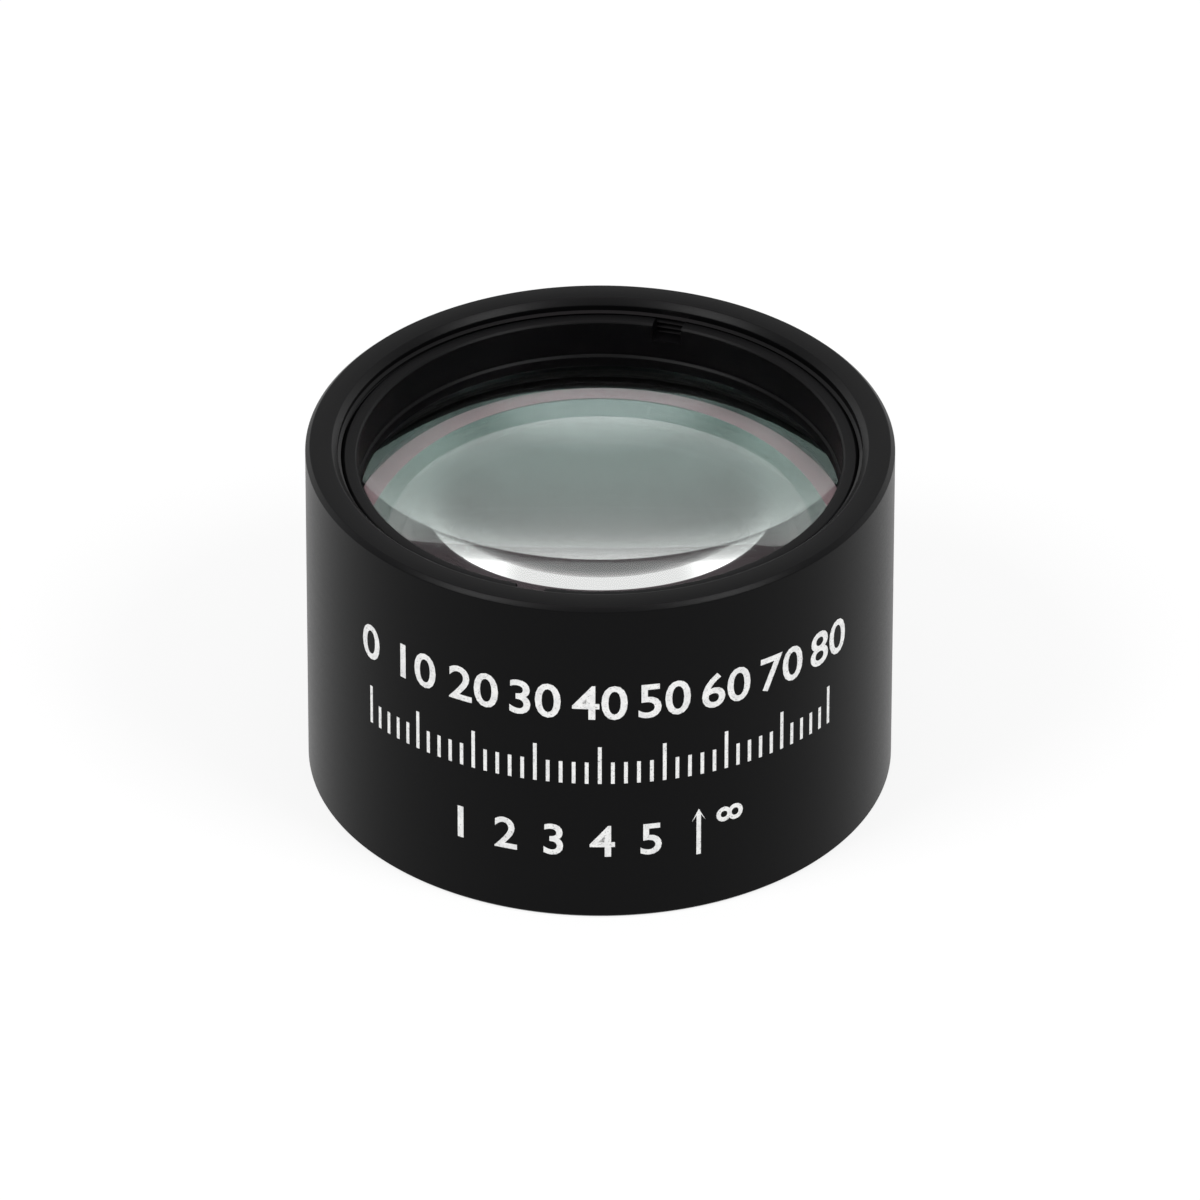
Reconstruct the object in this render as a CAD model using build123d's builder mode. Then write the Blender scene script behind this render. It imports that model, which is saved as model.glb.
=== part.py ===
from build123d import *
from math import asin, degrees, sqrt, tan
import os

os.makedirs("parts", exist_ok=True)

# Air-spaced achromatic doublet, 60 mm focal length, in a one-inch cell.
# Z is the optical axis and points to the infinity side; z = 0 is the bottom face.
# All sizes are in millimetres.

# Lenses
lens_diameter = 22.0
lens_bevel = 0.2
front_curve = 34.0              # radii of the four polished faces
inner_crown_curve = 105.0
inner_flint_curve = 59.3
rear_curve = 116.0
crown_edge = 2.4                # thickness of the crown at its rim
flint_centre = 2.2              # thickness of the flint on the axis
air_gap = 1.2                   # between the lenses, on the axis
flint_land = 1.8                # flat ring ground round the hollow face

# Housing
housing_height = 16.0
housing_wall = 1.4              # outside the thread
housing_top_chamfer = 0.19
housing_bottom_chamfer = 0.12
lens_clearance = 0.05           # radial play of the lenses in their bore
thread_step = 0.25              # from the lens bore out to the root of the thread
thread_run_out = 0.3            # thread left below the retaining ring
relief_width = 0.5              # groove that ends the thread
relief_depth = 0.15
rim_chamfer = 0.26              # inner edge of the rim
seat_width = 0.85               # shoulder under the rear lens
exit_chamfer = 0.3              # inner edge of the bottom face

# Retaining ring
ring_recess = 0.54              # top face below the rim
ring_thickness = 1.7
ring_width = 0.75
thread_clearance = 0.1          # radial play of the ring in the thread
ring_edge_chamfer = 0.2
ring_bore_chamfer = 0.1
slot_width = 1.3
slot_depth = 0.8
slot_azimuth = 73.9             # degrees from +X
slot_count = 2

# Pressure ring between the retaining ring and the front lens
pressure_ring_thickness = 1.03
pressure_ring_width = 0.65
pressure_ring_chamfer = 0.1
pressure_ring_land = 0.3        # flat that ends at the circle of contact with the glass
pressure_ring_undercut = 0.5    # height of the cone from that circle up to the bore
seat_gap = 0.01                 # film left between metal and a curved glass face

# Spacer ring between the lenses
spacer_width = 0.85


def sag(curve, radius):
    """Depth of a spherical face at a given distance from the axis."""
    return curve - sqrt(curve**2 - radius**2)


def half_angle(curve, radius):
    """Half angle of a spherical face that ends at a given distance from the axis."""
    return degrees(asin(radius / curve))


# Radii, worked outwards and inwards from the lenses
lens_radius = lens_diameter / 2
lens_bore_radius = lens_radius + lens_clearance
thread_radius = lens_bore_radius + thread_step
housing_radius = thread_radius + housing_wall
aperture_radius = lens_bore_radius - seat_width
ring_radius = thread_radius - thread_clearance
ring_bore_radius = ring_radius - ring_width
pressure_bore_radius = lens_radius - pressure_ring_width
contact_radius = lens_radius - pressure_ring_land
spacer_bore_radius = lens_radius - spacer_width
land_radius = lens_radius - flint_land

# Heights, worked down from the rim
ring_top = housing_height - ring_recess
ring_bottom = ring_top - ring_thickness
thread_bottom = ring_bottom - thread_run_out
relief_bottom = thread_bottom - relief_width
contact_height = ring_bottom - pressure_ring_thickness
crown_apex = contact_height - seat_gap + sag(front_curve, contact_radius)
crown_upper_rim = crown_apex - sag(front_curve, lens_radius)
crown_lower_rim = crown_upper_rim - crown_edge
crown_base = crown_lower_rim - sag(inner_crown_curve, lens_radius)
flint_hollow = crown_base - air_gap
flint_base = flint_hollow - flint_centre
land_height = flint_hollow + sag(inner_flint_curve, land_radius)
spacer_top = crown_base + sag(inner_crown_curve, spacer_bore_radius) - seat_gap
seat_height = flint_base + sag(rear_curve, aperture_radius) - seat_gap

# Housing: one turned piece with the threaded mouth, the lens bore and the seat
with BuildPart() as housing:
    with BuildSketch(Plane.XZ):
        with BuildLine():
            Polyline(
                (aperture_radius, 0),
                (housing_radius, 0),
                (housing_radius, housing_height),
                (thread_radius, housing_height),
                (thread_radius, thread_bottom),
                (thread_radius + relief_depth, thread_bottom),
                (thread_radius + relief_depth, relief_bottom),
                (lens_bore_radius, relief_bottom),
                (lens_bore_radius, seat_height),
                (aperture_radius, seat_height),
                close=True,
            )
        make_face()
    revolve(axis=Axis.Z)
    top_edges = housing.edges().group_by(Axis.Z)[-1].sort_by(SortBy.RADIUS)
    chamfer(top_edges[-1], length=housing_top_chamfer)
    chamfer(top_edges[0], length=rim_chamfer)
    bottom_edges = housing.edges().group_by(Axis.Z)[0].sort_by(SortBy.RADIUS)
    chamfer(bottom_edges[-1], length=housing_bottom_chamfer)
    chamfer(bottom_edges[0], length=exit_chamfer)

# Retaining ring: screwed into the mouth, with opposed slots for a spanner
with BuildPart() as retaining_ring:
    with BuildSketch(Plane.XY.offset(ring_bottom)):
        Circle(ring_radius)
        Circle(ring_bore_radius, mode=Mode.SUBTRACT)
    extrude(amount=ring_thickness)
    outer_edges = retaining_ring.edges().filter_by(GeomType.CIRCLE).group_by(SortBy.RADIUS)[-1]
    chamfer(outer_edges, length=ring_edge_chamfer)
    bore_edges = retaining_ring.edges().filter_by(GeomType.CIRCLE).group_by(SortBy.RADIUS)[0]
    chamfer(bore_edges.sort_by(Axis.Z)[-1], length=ring_bore_chamfer)
    with BuildSketch(Plane.XY.offset(ring_top)):
        with PolarLocations(ring_radius, slot_count, start_angle=slot_azimuth):
            Rectangle(2 * (ring_radius - ring_bore_radius + ring_edge_chamfer), slot_width)
    extrude(amount=-slot_depth, mode=Mode.SUBTRACT)

# Pressure ring: plain ring that bears on the front lens along one circle
with BuildPart() as pressure_ring:
    with BuildSketch(Plane.XZ):
        with BuildLine():
            Polyline(
                (contact_radius, contact_height),
                (lens_radius, contact_height),
                (lens_radius, ring_bottom),
                (pressure_bore_radius + pressure_ring_chamfer, ring_bottom),
                (pressure_bore_radius, ring_bottom - pressure_ring_chamfer),
                (pressure_bore_radius, contact_height + pressure_ring_undercut),
                close=True,
            )
        make_face()
    revolve(axis=Axis.Z)

# Front lens: crown with both faces convex
with BuildPart() as front_lens:
    with BuildSketch(Plane.XZ):
        with BuildLine():
            outer_face = CenterArc(
                (0, crown_apex - front_curve),
                front_curve,
                start_angle=90,
                arc_size=-half_angle(front_curve, lens_radius),
            )
            inner_face = CenterArc(
                (0, crown_base + inner_crown_curve),
                inner_crown_curve,
                start_angle=-90,
                arc_size=half_angle(inner_crown_curve, lens_radius),
            )
            Line(outer_face @ 1, inner_face @ 1)
            Line(outer_face @ 0, inner_face @ 0)
        make_face()
    revolve(axis=Axis.Z)
    crown_rims = front_lens.edges().filter_by(GeomType.CIRCLE).group_by(SortBy.RADIUS)[0]
    chamfer(crown_rims, length=lens_bevel)

# Spacer ring: its upper face is a cone tangent to the crown at the bore
with BuildPart() as spacer_ring:
    cone_slope = tan(asin(spacer_bore_radius / inner_crown_curve))
    cone_rise = (lens_radius - spacer_bore_radius) * cone_slope
    with BuildSketch(Plane.XZ):
        with BuildLine():
            Polyline(
                (spacer_bore_radius, land_height),
                (lens_radius, land_height),
                (lens_radius, spacer_top + cone_rise),
                (spacer_bore_radius, spacer_top),
                close=True,
            )
        make_face()
    revolve(axis=Axis.Z)

# Rear lens: flint meniscus with a flat land round its hollow face
with BuildPart() as rear_lens:
    with BuildSketch(Plane.XZ):
        with BuildLine():
            hollow_face = CenterArc(
                (0, flint_hollow + inner_flint_curve),
                inner_flint_curve,
                start_angle=-90,
                arc_size=half_angle(inner_flint_curve, land_radius),
            )
            exit_face = CenterArc(
                (0, flint_base + rear_curve),
                rear_curve,
                start_angle=-90,
                arc_size=half_angle(rear_curve, lens_radius),
            )
            Polyline(hollow_face @ 1, (lens_radius, land_height), exit_face @ 1)
            Line(hollow_face @ 0, exit_face @ 0)
        make_face()
    revolve(axis=Axis.Z)
    flint_rims = rear_lens.edges().filter_by(GeomType.CIRCLE).group_by(SortBy.RADIUS)[1]
    chamfer(flint_rims, length=lens_bevel)

housing.part.label = "housing"
export_step(housing.part, "parts/housing.step")
retaining_ring.part.label = "retaining_ring"
export_step(retaining_ring.part, "parts/retaining_ring.step")
pressure_ring.part.label = "pressure_ring"
export_step(pressure_ring.part, "parts/pressure_ring.step")
front_lens.part.label = "front_lens"
export_step(front_lens.part, "parts/front_lens.step")
spacer_ring.part.label = "spacer_ring"
export_step(spacer_ring.part, "parts/spacer_ring.step")
rear_lens.part.label = "rear_lens"
export_step(rear_lens.part, "parts/rear_lens.step")
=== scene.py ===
import math
import bmesh
import bpy
from mathutils import Matrix, Vector


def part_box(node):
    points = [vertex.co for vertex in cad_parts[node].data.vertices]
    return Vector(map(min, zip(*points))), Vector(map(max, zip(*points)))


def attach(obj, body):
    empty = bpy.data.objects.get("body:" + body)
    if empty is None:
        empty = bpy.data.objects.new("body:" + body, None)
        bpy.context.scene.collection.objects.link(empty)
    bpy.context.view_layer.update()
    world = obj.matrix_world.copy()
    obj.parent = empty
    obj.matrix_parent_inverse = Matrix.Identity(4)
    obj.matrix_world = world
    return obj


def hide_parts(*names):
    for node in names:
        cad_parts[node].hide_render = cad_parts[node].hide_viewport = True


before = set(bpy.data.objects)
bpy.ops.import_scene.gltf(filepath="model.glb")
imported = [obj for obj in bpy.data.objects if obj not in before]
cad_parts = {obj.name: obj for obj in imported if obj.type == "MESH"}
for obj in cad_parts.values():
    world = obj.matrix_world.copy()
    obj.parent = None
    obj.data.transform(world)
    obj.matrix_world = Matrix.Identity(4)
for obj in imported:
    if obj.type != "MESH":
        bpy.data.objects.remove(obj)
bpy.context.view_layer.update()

mm = 0.001
scene = bpy.context.scene
print("frame loaded")

# Sizes that the frame gives
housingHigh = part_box("housing")[1]
ringLow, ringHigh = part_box("retaining_ring")
pressLow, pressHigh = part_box("pressure_ring")
crownLow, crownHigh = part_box("front_lens")
spacerLow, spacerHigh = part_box("spacer_ring")
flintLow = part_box("rear_lens")[0]
housingRadius = housingHigh.x
ringRadius = ringHigh.x
lensRadius = crownHigh.x


# Shader helpers

class Wire:                                  # one socket, with the operators of arithmetic
    def __init__(self, finish, socket):
        self.finish = finish
        self.socket = socket

    def join(self, operation, first, second):
        return self.finish.node("ShaderNodeMath", {"operation": operation}, {0: first, 1: second})

    def __add__(self, other): return self.join("ADD", self, other)
    def __radd__(self, other): return self.join("ADD", other, self)
    def __sub__(self, other): return self.join("SUBTRACT", self, other)
    def __rsub__(self, other): return self.join("SUBTRACT", other, self)
    def __mul__(self, other): return self.join("MULTIPLY", self, other)
    def __rmul__(self, other): return self.join("MULTIPLY", other, self)


class Finish:                                # a material or world, and the nodes it is made of
    def __init__(self, owner):
        owner.use_nodes = True
        self.owner = owner
        self.tree = owner.node_tree
        self.tree.nodes.clear()

    def plug(self, socket, value):
        if isinstance(value, Wire):
            self.tree.links.new(value.socket, socket)
        else:
            socket.default_value = value

    def node(self, kind, settings=None, inputs=None, output=0):     # output None gives a list of them all
        node = self.tree.nodes.new(kind)
        for name, value in (settings or {}).items():
            setattr(node, name, value)
        for name, value in (inputs or {}).items():
            self.plug(node.inputs[name], value)
        if output is None:
            return [Wire(self, socket) for socket in node.outputs]
        return Wire(self, node.outputs[output])

    def vector(self, operation, inputs, output="Vector"):
        return self.node("ShaderNodeVectorMath", {"operation": operation}, inputs, output)

    def place(self):                         # object coordinates, in millimetres
        return self.vector("SCALE", {0: self.node("ShaderNodeTexCoord", output="Object"), "Scale": 1 / mm})

    def parts(self, vector):                 # x, y and z of a vector
        return self.node("ShaderNodeSeparateXYZ", None, {0: vector}, None)

    def reach(self, spot):                   # distance from the optical axis
        flat = self.vector("MULTIPLY", {0: spot, 1: (1, 1, 0)})
        return self.vector("LENGTH", {0: flat}, "Value")

    def blend(self, share, first, second):   # colours mixed by a share
        return self.node("ShaderNodeMix", {"data_type": "RGBA"}, {0: share, 6: first, 7: second}, 2)

    def ramp(self, value, low, high):        # 0 at low, 1 at high, smooth between
        settings = {"interpolation_type": "SMOOTHSTEP"}
        return self.node("ShaderNodeMapRange", settings, {0: value, 1: low, 2: high})

    def noise(self, spot, scale, detail, roughness):
        inputs = {"Vector": spot, "Scale": scale, "Detail": detail, "Roughness": roughness}
        return self.node("ShaderNodeTexNoise", None, inputs)

    def finish(self, shader, kind="ShaderNodeOutputMaterial"):
        self.node(kind, None, {"Surface": shader}, None)
        return self.owner


def newFinish(name):
    return Finish(bpy.data.materials.new(name))


def swing(share, width):                     # from 0 to 1 made into minus to plus half a width
    return (share - 0.5) * width


# Mesh helpers

def newPiece(name, bm, finishes, nodes, sharpAngle=40):
    mesh = bpy.data.meshes.new(name)
    bm.to_mesh(mesh)
    bm.free()
    for finish in finishes:
        mesh.materials.append(finish)
    mesh.shade_smooth()
    mesh.set_sharp_from_angle(angle=math.radians(sharpAngle))
    piece = bpy.data.objects.new(name, mesh)
    scene.collection.objects.link(piece)
    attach(piece, "root")
    if nodes:
        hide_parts(*nodes)
    return piece


def closedOutline(bm, points):               # a loop of edges in the plane of X and Z
    corners = [bm.verts.new((radius, 0, height)) for radius, height in points]
    for first, second in zip(corners, corners[1:] + corners[:1]):
        bm.edges.new((first, second))
    return corners


def turn(bm, steps=256, weld=1e-7):          # the outline swept once round the optical axis
    bmesh.ops.spin(bm, geom=bm.verts[:] + bm.edges[:], cent=(0, 0, 0), axis=(0, 0, 1),
                   angle=2 * math.pi, steps=steps, use_merge=True)
    bmesh.ops.remove_doubles(bm, verts=bm.verts[:], dist=weld)
    bmesh.ops.recalc_face_normals(bm, faces=bm.faces[:])


def turnedPart(name, outline, rounding, finish, node, steps=3):
    bm = bmesh.new()
    corners = closedOutline(bm, outline)
    bmesh.ops.bevel(bm, geom=corners, offset=rounding, offset_type="OFFSET", segments=steps,
                    profile=0.5, affect="VERTICES", material=-1, clamp_overlap=True)
    turn(bm)
    return newPiece(name, bm, [finish], [node])


def weighNormals(piece, weight=60):          # keeps flat faces flat beside rounded edges
    weigh = piece.modifiers.new("flat faces", "WEIGHTED_NORMAL")
    weigh.keep_sharp = True
    weigh.weight = weight


# Finishes; a noise is given by its scale per millimetre, detail and roughness

anodiseSizes = {
    "index": 1.16,
    "grain": (14.0, 3.0, 0.6),
    "turning": (9.0, 4.0, 0.7),     # fine lines round the axis
    "cloud": (0.35, 2.0, 0.5),
    "grainDepth": 0.01 * mm,
    "tone": 0.75,                   # share of the colour that grain and cloud add to
    "grainTone": 0.35,
    "cloudTone": 0.15,
    "grainRough": 0.18,
    "turningRough": 0.06,
    "grainRelief": 0.7,
    "turningRelief": 0.3,
    "cell_black": {"colour": (0.0020, 0.0020, 0.0022), "roughness": 0.34, "bump": 0.35},
    "ring_black": {"colour": (0.0012, 0.0012, 0.0014), "roughness": 0.42, "bump": 0.3},
}
groundSizes = {
    "index": 1.3,
    "grain": (18.0, 3.0, 0.7),
    "grainRange": (0.3, 0.7),
    "colours": ((0.29, 0.21, 0.23, 1), (0.38, 0.28, 0.30, 1)),
    "roughness": 0.6,
    "spread": 0.1,
}
lacquerSizes = {"index": 1.3, "colour": (0.004, 0.004, 0.0045, 1), "roughness": 0.6}
inkSizes = {
    "index": 1.3,
    "patch": (3.0, 3.0, 0.6),
    "patchRange": (0.3, 0.7),
    "pits": (12.0, 2.0, 0.6),
    "pitRange": (0.28, 0.42),
    "colours": ((0.60, 0.60, 0.60, 1), (0.72, 0.72, 0.71, 1)),
    "pitColour": (0.30, 0.30, 0.30, 1),
    "roughness": 0.65,
    "spread": 0.1,
}


def anodised(name):
    size = anodiseSizes
    look = size[name]
    finish = newFinish(name)
    spot = finish.place()
    grain = finish.noise(spot, *size["grain"])
    cloud = finish.noise(spot, *size["cloud"])
    height = finish.parts(spot)[2]
    lines = finish.node("ShaderNodeCombineXYZ", None, {0: finish.reach(spot), 2: height})
    turning = finish.noise(lines, *size["turning"])
    tone = size["tone"] + grain * size["grainTone"] + cloud * size["cloudTone"]
    colour = finish.vector("SCALE", {0: look["colour"], "Scale": tone})
    rough = look["roughness"] + swing(grain, size["grainRough"]) + swing(turning, size["turningRough"])
    relief = grain * size["grainRelief"] + turning * size["turningRelief"]
    bump = finish.node("ShaderNodeBump", None, {
        "Strength": look["bump"], "Distance": size["grainDepth"], "Height": relief})
    shader = finish.node("ShaderNodeBsdfPrincipled", None, {
        "Base Color": colour, "Roughness": rough, "IOR": size["index"], "Normal": bump})
    return finish.finish(shader)


def groundGlass(name):
    size = groundSizes
    finish = newFinish(name)
    grain = finish.ramp(finish.noise(finish.place(), *size["grain"]), *size["grainRange"])
    colour = finish.blend(grain, *size["colours"])
    shader = finish.node("ShaderNodeBsdfPrincipled", None, {
        "Base Color": colour, "Roughness": size["roughness"] + swing(grain, size["spread"]),
        "IOR": size["index"]})
    return finish.finish(shader)


def lacquer(name):
    size = lacquerSizes
    finish = newFinish(name)
    shader = finish.node("ShaderNodeBsdfPrincipled", None, {
        "Base Color": size["colour"], "Roughness": size["roughness"], "IOR": size["index"]})
    return finish.finish(shader)


def whiteInk(name):
    size = inkSizes
    finish = newFinish(name)
    spot = finish.place()
    patch = finish.ramp(finish.noise(spot, *size["patch"]), *size["patchRange"])
    pits = finish.ramp(finish.noise(spot, *size["pits"]), *size["pitRange"])
    colour = finish.blend(patch, *size["colours"])
    colour = finish.blend(pits, size["pitColour"], colour)
    shader = finish.node("ShaderNodeBsdfPrincipled", None, {
        "Base Color": colour, "Roughness": size["roughness"] + swing(patch, size["spread"]),
        "IOR": size["index"]})
    return finish.finish(shader)


cellBlack = anodised("cell_black")
ringBlack = anodised("ring_black")
edgeBlack = lacquer("edge_lacquer")
groundLand = groundGlass("ground_glass")
markWhite = whiteInk("mark_white")
print("finishes made")


# Radii of the four polished faces and other sizes of the lenses; the housing and the spacer use some

lensCurves = {
    "front": 34.0 * mm,
    "innerCrown": 105.0 * mm,
    "innerFlint": 59.3 * mm,
    "rear": 116.0 * mm,
    "flintCentre": 2.2 * mm,
    "land": 1.8 * mm,               # flat ground ring round the flint's hollow
    "bevel": 0.2 * mm,
    "film": 0.01 * mm,              # between metal and glass
}


def sag(curve, radius):
    return curve - math.sqrt(curve ** 2 - radius ** 2)


# Housing

housingSizes = {
    "topChamfer": 0.19 * mm,
    "bottomChamfer": 0.12 * mm,
    "rimChamfer": 0.26 * mm,
    "exitChamfer": 0.3 * mm,
    "threadStep": 0.1 * mm,         # from the ring out to the root of the thread
    "runOut": 0.3 * mm,             # thread left below the ring
    "reliefWidth": 0.5 * mm,
    "reliefDepth": 0.15 * mm,
    "lensPlay": 0.05 * mm,
    "seatWidth": 0.85 * mm,
    "rounding": 0.03 * mm,
    "roundingSteps": 4,
}


def makeHousing():
    size = housingSizes
    top = housingHigh.z
    root = ringRadius + size["threadStep"]
    bore = lensRadius + size["lensPlay"]
    aperture = bore - size["seatWidth"]
    seat = flintLow.z + sag(lensCurves["rear"], aperture) - lensCurves["film"]
    threadEnd = ringLow.z - size["runOut"]
    relief = threadEnd - size["reliefWidth"]
    groove = root + size["reliefDepth"]
    outline = [
        (aperture + size["exitChamfer"], 0),
        (housingRadius - size["bottomChamfer"], 0),
        (housingRadius, size["bottomChamfer"]),
        (housingRadius, top - size["topChamfer"]),
        (housingRadius - size["topChamfer"], top),
        (root + size["rimChamfer"], top),
        (root, top - size["rimChamfer"]),
        (root, threadEnd),
        (groove, threadEnd),
        (groove, relief),
        (bore, relief),
        (bore, seat),
        (aperture, seat),
        (aperture, size["exitChamfer"]),
    ]
    return turnedPart("housing_cell", outline, size["rounding"], cellBlack, "housing",
                      size["roundingSteps"])


weighNormals(makeHousing())
print("housing made")


# Fine thread, as a ridge that winds along the plain wall of the mouth and points at the axis

threadSizes = {
    "pitch": 0.25 * mm,
    "height": 0.13 * mm,
    "rootWidth": 0.21 * mm,
    "crestWidth": 0.03 * mm,
    "sunk": 0.01 * mm,              # how far the ridge starts inside its wall
    "steps": 144,
}


def makeThread():
    size = threadSizes
    wall = ringRadius + housingSizes["threadStep"]
    low = ringLow.z - housingSizes["runOut"]
    high = housingHigh.z - housingSizes["rimChamfer"]
    turns = math.floor((high - low) / size["pitch"]) - 1
    start = low + size["pitch"] / 2
    root, crest = wall + size["sunk"], wall - size["height"]
    bm = bmesh.new()
    closedOutline(bm, [
        (root, start - size["rootWidth"] / 2),
        (root, start + size["rootWidth"] / 2),
        (crest, start + size["crestWidth"] / 2),
        (crest, start - size["crestWidth"] / 2),
    ])
    bmesh.ops.spin(bm, geom=bm.edges[:], cent=(0, 0, 0), axis=(0, 0, 1), angle=2 * math.pi * turns,
                   steps=size["steps"] * turns, dvec=(0, 0, size["pitch"] / size["steps"]), use_merge=False)
    bmesh.ops.holes_fill(bm, edges=bm.edges[:], sides=4)
    bmesh.ops.recalc_face_normals(bm, faces=bm.faces[:])
    return newPiece("housing_thread", bm, [cellBlack], [])


makeThread()
print("thread made")


# Rings

ringSizes = {
    "width": 0.75 * mm,
    "edgeChamfer": 0.2 * mm,
    "boreChamfer": 0.1 * mm,
    "rounding": 0.02 * mm,
    "slotWidth": 1.3 * mm,
    "slotDepth": 0.8 * mm,
    "slotAzimuth": 73.9,
}
pressureSizes = {
    "width": 0.65 * mm,
    "chamfer": 0.1 * mm,
    "land": 0.3 * mm,               # flat that ends at the circle of contact with the glass
    "undercut": 0.5 * mm,
    "rounding": 0.01 * mm,
}
spacerSizes = {"width": 0.85 * mm, "rounding": 0.01 * mm}


def cutSlots(ring):                          # one long bar across the axis cuts both slots
    size = ringSizes
    bar = (3 * ringRadius, size["slotWidth"], 2 * size["slotDepth"])
    cutter = bmesh.new()
    bmesh.ops.create_cube(cutter, size=1)
    bmesh.ops.scale(cutter, vec=bar, verts=cutter.verts[:])
    bmesh.ops.translate(cutter, vec=(0, 0, ringHigh.z), verts=cutter.verts[:])
    bmesh.ops.rotate(cutter, cent=(0, 0, 0), verts=cutter.verts[:],
                     matrix=Matrix.Rotation(math.radians(size["slotAzimuth"]), 3, "Z"))
    blade = bpy.data.meshes.new("slot blade")
    cutter.to_mesh(blade)
    cutter.free()
    tool = bpy.data.objects.new("slot_blade", blade)
    scene.collection.objects.link(tool)
    cut = ring.modifiers.new("slots", "BOOLEAN")
    cut.operation = "DIFFERENCE"
    cut.solver = "EXACT"
    cut.object = tool
    bpy.context.view_layer.update()
    graph = bpy.context.evaluated_depsgraph_get()
    slotted = bpy.data.meshes.new_from_object(ring.evaluated_get(graph))
    ring.modifiers.clear()
    bpy.data.objects.remove(tool)
    ring.data = slotted


def makeRetainingRing():
    size = ringSizes
    bore = ringRadius - size["width"]
    edge = size["edgeChamfer"]
    outline = [
        (bore, ringLow.z),
        (ringRadius - edge, ringLow.z),
        (ringRadius, ringLow.z + edge),
        (ringRadius, ringHigh.z - edge),
        (ringRadius - edge, ringHigh.z),
        (bore + size["boreChamfer"], ringHigh.z),
        (bore, ringHigh.z - size["boreChamfer"]),
    ]
    ring = turnedPart("retaining_ring_slotted", outline, size["rounding"], ringBlack,
                      "retaining_ring")
    cutSlots(ring)
    return ring


def makePressureRing():
    size = pressureSizes
    outer = pressHigh.x
    bore = outer - size["width"]
    outline = [
        (outer - size["land"], pressLow.z),
        (outer, pressLow.z),
        (outer, pressHigh.z),
        (bore + size["chamfer"], pressHigh.z),
        (bore, pressHigh.z - size["chamfer"]),
        (bore, pressLow.z + size["undercut"]),
    ]
    return turnedPart("pressure_ring_plain", outline, size["rounding"], ringBlack,
                      "pressure_ring")


def makeSpacerRing():
    size = spacerSizes
    outer = spacerHigh.x
    bore = outer - size["width"]
    innerTop = crownLow.z + sag(lensCurves["innerCrown"], bore) - lensCurves["film"]
    outline = [
        (bore, spacerLow.z),
        (outer, spacerLow.z),
        (outer, spacerHigh.z),
        (bore, innerTop),
    ]
    return turnedPart("spacer_ring_cone", outline, size["rounding"], ringBlack,
                      "spacer_ring")


for ring in (makeRetainingRing(), makePressureRing(), makeSpacerRing()):
    weighNormals(ring)
print("rings made")


# Lenses

lensSizes = {
    "crown": {"index": 1.62, "tint": (0.98, 0.99, 0.98, 1)},
    "flint": {"index": 1.93, "tint": (0.96, 0.98, 0.95, 1)},
    "outerCoat": (0.55, 0.42, 0.47, 1),      # what the coatings reflect
    "innerCoat": (0.68, 1.0, 0.92, 1),
    "steps": 52,
    "sharpAngle": 20,
}


def polishedGlass(name, glass, coat):
    finish = newFinish(name)
    shader = finish.node("ShaderNodeBsdfPrincipled", None, {
        "Base Color": lensSizes[glass]["tint"], "Roughness": 0.0, "IOR": lensSizes[glass]["index"],
        "Transmission Weight": 1.0, "Specular Tint": lensSizes[coat]})
    return finish.finish(shader)


def lensFace(bm, apexHeight, curve, side, reach):
    # side is 1 where the centre lies below the apex; the wire runs from the axis out to reach
    apex = bm.verts.new((0, 0, apexHeight))
    swept = bmesh.ops.spin(bm, geom=[apex], cent=(0, 0, apexHeight - side * curve), axis=(0, side, 0),
                           angle=math.asin(reach / curve), steps=lensSizes["steps"])
    return [item for item in swept["geom_last"] if isinstance(item, bmesh.types.BMVert)][0]


def makeLens(name, node, upper, lower, land, finishes):
    # upper and lower are apex height, curve, side; land is the width of a flat round the upper face
    # the finishes are those of the upper face, the lower face, the edge and the land
    bevel = lensCurves["bevel"]
    bm = bmesh.new()
    rimUp = lensFace(bm, *upper, lensRadius - (land or bevel))
    rimDown = lensFace(bm, *lower, lensRadius - bevel)
    heightUp = rimUp.co.z if land else upper[0] - sag(upper[1], lensRadius)
    heightDown = lower[0] + sag(lower[1], lensRadius)
    path = [rimUp]
    if land:
        path.append(bm.verts.new((lensRadius - bevel, 0, heightUp)))
    path.append(bm.verts.new((lensRadius, 0, heightUp - bevel)))
    path.append(bm.verts.new((lensRadius, 0, heightDown + bevel)))
    path.append(rimDown)
    for first, second in zip(path, path[1:]):
        bm.edges.new((first, second))
    turn(bm)
    for face in bm.faces:
        spot = face.calc_center_median()
        reach = math.hypot(spot.x, spot.y)
        if reach > lensRadius - bevel:
            face.material_index = 2
        elif face.normal.z < 0:
            face.material_index = 1
        else:
            face.material_index = 3 if land and reach > lensRadius - land else 0
    return newPiece(name, bm, finishes, [node], lensSizes["sharpAngle"])


crownOuter = polishedGlass("crown_glass_outer", "crown", "outerCoat")
crownInner = polishedGlass("crown_glass_inner", "crown", "innerCoat")
flintGlass = polishedGlass("flint_glass", "flint", "innerCoat")
makeLens("crown_lens", "front_lens",
         (crownHigh.z, lensCurves["front"], 1), (crownLow.z, lensCurves["innerCrown"], -1), 0.0,
         [crownOuter, crownInner, edgeBlack])
makeLens("flint_lens", "rear_lens",
         (flintLow.z + lensCurves["flintCentre"], lensCurves["innerFlint"], -1),
         (flintLow.z, lensCurves["rear"], -1), lensCurves["land"],
         [flintGlass, flintGlass, groundLand, groundLand])
print("lenses made")


# Marks: plain numbers, a graduated line, an arrow and an endless loop, in white on the wall

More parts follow.
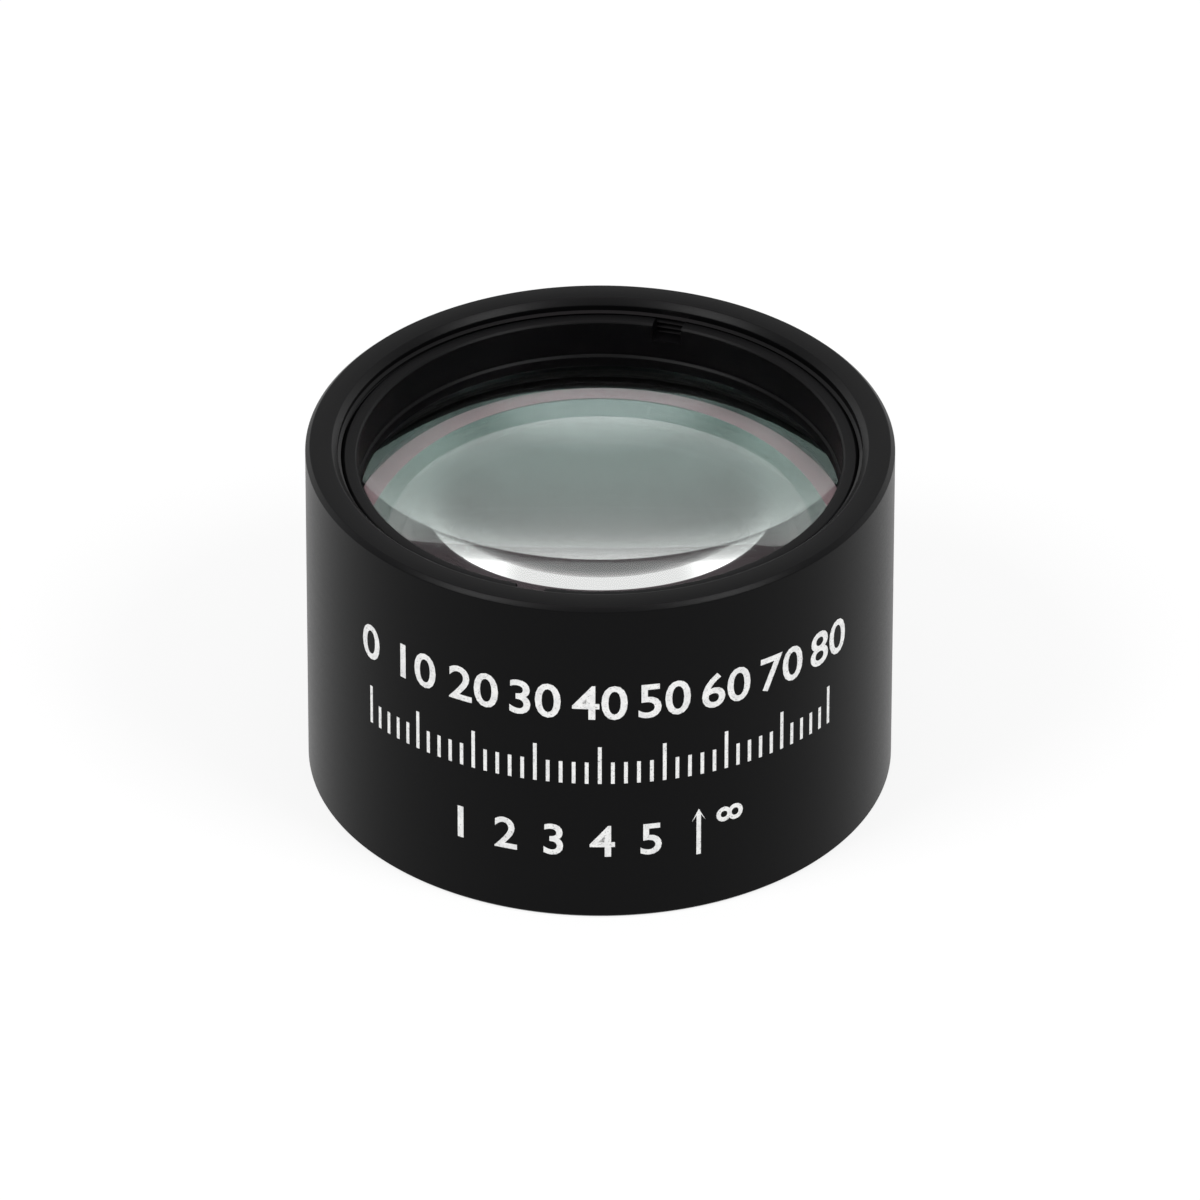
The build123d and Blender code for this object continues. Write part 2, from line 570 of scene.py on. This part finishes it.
markSizes = {
    "proud": 0.006 * mm,
    "depth": 0.012 * mm,
    "cell": 0.15 * mm,              # longest piece of a mark before it is bent round the wall
    "bolder": 0.012,                # added to each side of a stroke, as a share of the type size
    "letterSteps": 4,               # edges for each piece of a letter's curve
    "scale": {
        "texts": [str(number) for number in range(0, 90, 10)],
        "height": 1.75 * mm,
        "foot": 10.3 * mm,
        "start": -50.4,             # degrees round the wall from the front
        "step": 12.6,
    },
    "row": {
        "texts": ["1", "2", "3", "4", "5"],
        "height": 1.6 * mm,
        "foot": 3.2 * mm,
        "start": -28.0,
        "step": 9.5,
    },
    "tickFoot": 7.0 * mm,
    "tickTops": (8.1 * mm, 8.9 * mm),
    "tickWidth": 0.16 * mm,
    "ticksPerNumber": 5,
    "arrowAzimuth": 19.5,
    "arrowFoot": 2.84 * mm,
    "arrowTop": 5.2 * mm,
    "arrowShaft": 0.2 * mm,
    "arrowHead": (0.62 * mm, 0.62 * mm),
    "arrowNotch": 0.5,              # share of the head's height at which the shaft meets it
    "loopAzimuth": 26.0,
    "loopHeight": 0.8 * mm,
    "loopMiddle": 4.62 * mm,
}


def bendRound(bm, azimuth):                  # from a flat sheet in X and Z, round the wall
    size = markSizes
    xs = [vert.co.x for vert in bm.verts]
    for place in range(1, math.ceil((max(xs) - min(xs)) / size["cell"])):
        bmesh.ops.bisect_plane(bm, geom=bm.verts[:] + bm.edges[:] + bm.faces[:], dist=1e-9,
                               plane_co=(min(xs) + place * size["cell"], 0, 0), plane_no=(1, 0, 0))
    for vert in bm.verts:
        angle = math.radians(azimuth) + vert.co.x / housingRadius
        reach = housingRadius - size["depth"] + size["proud"] + vert.co.y
        vert.co = (reach * math.sin(angle), -reach * math.cos(angle), vert.co.z)
    return bm


def letterMesh(text, height, foot, quarterTurn=False):      # a thin slab in X and Z
    size = markSizes
    curve = bpy.data.curves.new(text, "FONT")
    curve.body = text
    curve.align_x = "CENTER"
    curve.resolution_u = size["letterSteps"]
    curve.offset = size["bolder"]
    curve.extrude = 0.1                      # any depth; the marks' own is given below
    curve.fill_mode = "BOTH"
    word = bpy.data.objects.new("word", curve)
    scene.collection.objects.link(word)
    bpy.context.view_layer.update()
    graph = bpy.context.evaluated_depsgraph_get()
    mesh = bpy.data.meshes.new_from_object(word.evaluated_get(graph))
    bpy.data.objects.remove(word)
    bm = bmesh.new()
    bm.from_mesh(mesh)
    bpy.data.meshes.remove(mesh)
    bmesh.ops.remove_doubles(bm, verts=bm.verts[:], dist=1e-5)
    if quarterTurn:
        bmesh.ops.rotate(bm, cent=(0, 0, 0), verts=bm.verts[:], matrix=Matrix.Rotation(math.pi / 2, 3, "Z"))
    xs = [vert.co.x for vert in bm.verts]
    ys = [vert.co.y for vert in bm.verts]
    grow = height / (max(ys) - min(ys))
    middle = (max(xs) + min(xs)) / 2
    for vert in bm.verts:
        across, up, out = vert.co
        deep = size["depth"] if out > 0 else 0.0
        vert.co = ((across - middle) * grow, deep, (up - min(ys)) * grow)
    bmesh.ops.recalc_face_normals(bm, faces=bm.faces[:])
    bmesh.ops.translate(bm, vec=(0, 0, foot), verts=bm.verts[:])
    return bm


def slab(bm, points):                        # a flat outline in X and Z, given its depth
    face = bm.faces.new([bm.verts.new((across, 0, up)) for across, up in points])
    raised = bmesh.ops.extrude_face_region(bm, geom=[face])
    moved = [item for item in raised["geom"] if isinstance(item, bmesh.types.BMVert)]
    bmesh.ops.translate(bm, vec=(0, markSizes["depth"], 0), verts=moved)


def addTo(whole, bm):                        # gathers one mark into the whole mesh
    mesh = bpy.data.meshes.new("mark")
    bm.to_mesh(mesh)
    bm.free()
    whole.from_mesh(mesh)
    bpy.data.meshes.remove(mesh)


def newMark(name, bm):                       # the white is a coat on the housing, which keeps its slot
    return newPiece(name, bm, [markWhite], [])


def makeNumbers(name, line):
    whole = bmesh.new()
    for place, text in enumerate(line["texts"]):
        letters = letterMesh(text, line["height"], line["foot"])
        addTo(whole, bendRound(letters, line["start"] + place * line["step"]))
    return newMark(name, whole)


def makeTicks():
    size = markSizes
    scale = size["scale"]
    half, foot = size["tickWidth"] / 2, size["tickFoot"]
    whole = bmesh.new()
    for place in range((len(scale["texts"]) - 1) * size["ticksPerNumber"] + 1):
        top = size["tickTops"][1 if place % size["ticksPerNumber"] == 0 else 0]
        bm = bmesh.new()
        slab(bm, [(-half, foot), (half, foot), (half, top), (-half, top)])
        addTo(whole, bendRound(bm, scale["start"] + place * scale["step"] / size["ticksPerNumber"]))
    bmesh.ops.recalc_face_normals(whole, faces=whole.faces[:])
    return newMark("scale_ticks", whole)


def makeArrow():
    size = markSizes
    half = size["arrowShaft"] / 2
    wide, tall = size["arrowHead"]
    foot, top = size["arrowFoot"], size["arrowTop"]
    notch = top - tall * size["arrowNotch"]
    bm = bmesh.new()
    slab(bm, [(-half, foot), (half, foot), (half, notch), (wide / 2, top - tall), (0, top),
              (-wide / 2, top - tall), (-half, notch)])
    bendRound(bm, size["arrowAzimuth"])
    bmesh.ops.recalc_face_normals(bm, faces=bm.faces[:])
    return newMark("direction_arrow", bm)


def makeLoop():                              # an 8 turned on its side
    size = markSizes
    bm = letterMesh("8", size["loopHeight"], size["loopMiddle"] - size["loopHeight"] / 2, True)
    return newMark("endless_loop", bendRound(bm, size["loopAzimuth"]))


makeNumbers("scale_numbers", markSizes["scale"])
makeNumbers("row_numbers", markSizes["row"])
makeTicks()
makeArrow()
makeLoop()
print("marks made")


# Studio

studioSizes = {
    "elevation": 34.16,              # degrees above the floor
    "distance": 668.0 * mm,
    "targetHeight": 7.865 * mm,
    "roll": 0.073,
    "focal": 462.5,
    "sensor": 36.0,
    "clip": (0.01, 10.0),
    "floorSide": 3.0,
    "floorTone": (0.82, 0.82, 0.82, 1),
    "floorGlow": 0.8,                # share of plain white in what camera, metal and glass see of the floor
    "around": 0.8,                   # brightness of the studio as the object reflects it
    "behind": (0.0, 0.4),            # the back of the studio, between these sines of azimuth
    "horizon": (0.8, 0.20, 0.50),    # added at the back, fading from this sine of elevation to that
    "sides": (0.7, 0.35, 0.55),      # added left and right of that, rising between these sines of azimuth
    "high": (0.45, 0.66, 0.82),      # added above, rising between these sines of elevation
    "overhead": (1.7, 0.88, 0.97),   # and again straight above
    "overheadTint": (1.0, 0.88, 0.92, 1),
    "white": (1.0, 1.0, 1.0, 1),
    "soft": 0.6,                     # light that falls on the object from all round
    "lampSide": 0.22,
    "lampDistance": 0.6,
    "lampPower": 2.0,
    "lamps": {"left_box": (-0.549, -0.366, 0.752), "right_box": (0.549, -0.366, 0.752)},
}


def makeCamera():
    size = studioSizes
    tilt = math.radians(size["elevation"])
    lens = bpy.data.cameras.new("view")
    lens.lens = size["focal"]
    lens.sensor_width = size["sensor"]
    lens.sensor_fit = "HORIZONTAL"
    lens.clip_start, lens.clip_end = size["clip"]
    camera = bpy.data.objects.new("view", lens)
    scene.collection.objects.link(camera)
    place = Vector((0, -math.cos(tilt), math.sin(tilt))) * size["distance"]
    raised = Matrix.Rotation(math.radians(90) - tilt, 4, "X")
    rolled = Matrix.Rotation(math.radians(size["roll"]), 4, "Z")
    camera.matrix_world = Matrix.Translation(place + Vector((0, 0, size["targetHeight"]))) @ (raised @ rolled)
    scene.camera = camera


def seenDirectly(finish):                    # 1 for camera rays; 1 for camera, glossy and transmission rays
    camera, glossy, through = [finish.node("ShaderNodeLightPath", output=name) for name in
                               ("Is Camera Ray", "Is Glossy Ray", "Is Transmission Ray")]
    return camera, camera.join("MINIMUM", camera + glossy + through, 1.0)


def makeFloor():
    size = studioSizes
    bm = bmesh.new()
    bmesh.ops.create_grid(bm, x_segments=8, y_segments=8, size=size["floorSide"] / 2)
    mesh = bpy.data.meshes.new("floor")
    bm.to_mesh(mesh)
    bm.free()
    floor = bpy.data.objects.new("floor", mesh)
    scene.collection.objects.link(floor)
    finish = newFinish("floor_white")
    direct = seenDirectly(finish)[1]
    plain = finish.node("ShaderNodeBsdfDiffuse", None, {"Color": size["floorTone"]})
    white = finish.node("ShaderNodeEmission", None, {"Color": size["white"], "Strength": 1.0})
    mixed = finish.node("ShaderNodeMixShader", None, {0: direct * size["floorGlow"], 1: plain, 2: white})
    mesh.materials.append(finish.finish(mixed))


def makeWorld():
    size = studioSizes
    world = bpy.data.worlds.new("studio")
    scene.world = world
    finish = Finish(world)
    camera, direct = seenDirectly(finish)
    x, y, z = finish.parts(finish.node("ShaderNodeTexCoord", output="Generated"))
    behind = finish.ramp(y, *size["behind"])
    glow, full, none = size["horizon"]
    strength = size["around"] + (1.0 - finish.ramp(z, full, none)) * behind * glow
    glow, none, full = size["sides"]
    strength = strength + finish.ramp(x * x, none ** 2, full ** 2) * behind * glow
    glow, none, full = size["high"]
    strength = strength + finish.ramp(z, none, full) * glow
    glow, none, full = size["overhead"]
    above = finish.ramp(z, none, full)
    strength = strength + above * glow
    strength = strength + camera * (1.0 - strength)
    tint = finish.blend(above * (1.0 - camera), size["white"], size["overheadTint"])
    soft = finish.node("ShaderNodeBackground", None, {"Color": size["white"], "Strength": size["soft"]})
    bright = finish.node("ShaderNodeBackground", None, {"Color": tint, "Strength": strength})
    mixed = finish.node("ShaderNodeMixShader", None, {0: direct, 1: soft, 2: bright})
    finish.finish(mixed, "ShaderNodeOutputWorld")


def makeLamp(name, towards):
    size = studioSizes
    light = bpy.data.lights.new(name, "AREA")
    light.shape = "SQUARE"
    light.size = size["lampSide"]
    light.energy = size["lampPower"]
    lamp = bpy.data.objects.new(name, light)
    scene.collection.objects.link(lamp)
    spot = Vector(towards).normalized() * size["lampDistance"]
    lamp.matrix_world = Matrix.Translation(spot) @ spot.to_track_quat("Z", "Y").to_matrix().to_4x4()


makeCamera()
makeFloor()
makeWorld()
for name, towards in studioSizes["lamps"].items():
    makeLamp(name, towards)
scene.view_settings.view_transform = "Standard"
print("studio made")
